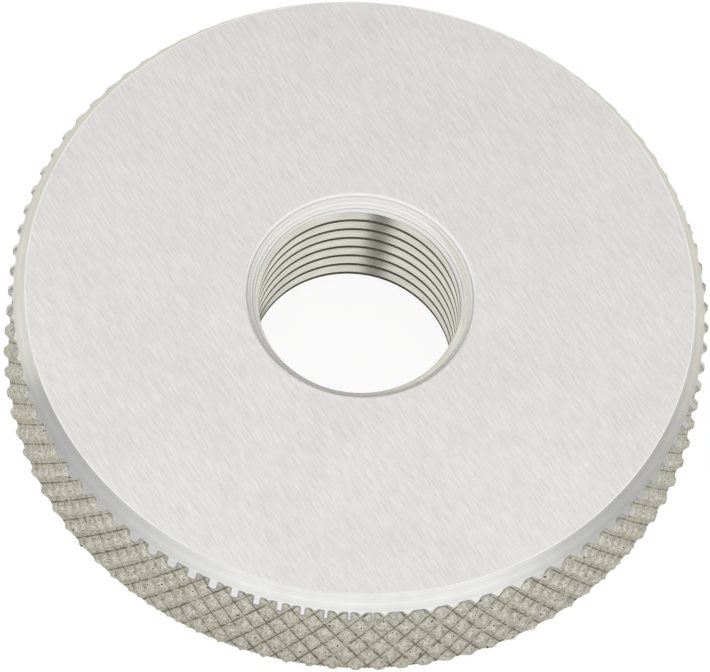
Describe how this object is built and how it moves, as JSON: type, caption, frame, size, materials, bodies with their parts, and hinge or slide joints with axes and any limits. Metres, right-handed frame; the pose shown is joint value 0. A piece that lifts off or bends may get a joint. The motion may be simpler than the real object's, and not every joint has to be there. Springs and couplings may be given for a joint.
{
  "type": "thread ring gauge",
  "caption": "Round steel ring with a diamond-knurled rim and a fine internal thread, screwed over a thread to check it.",
  "frame": {"origin": "centre of the lower face, on the axis of the threaded bore", "axes": "+Z along the bore's axis, up out of the upper face; X and Y lie in the lower face, with the knurl's groove angles counted from +X"},
  "size_m": [0.038, 0.038, 0.0088],
  "materials": {
    "hardened_tool_steel": "ground faces with straight fine grinding lines, turned chamfers, matt knurl"
  },
  "bodies": {
    "root": {"gauge_ring": "hardened_tool_steel"}
  },
  "joints": []
}
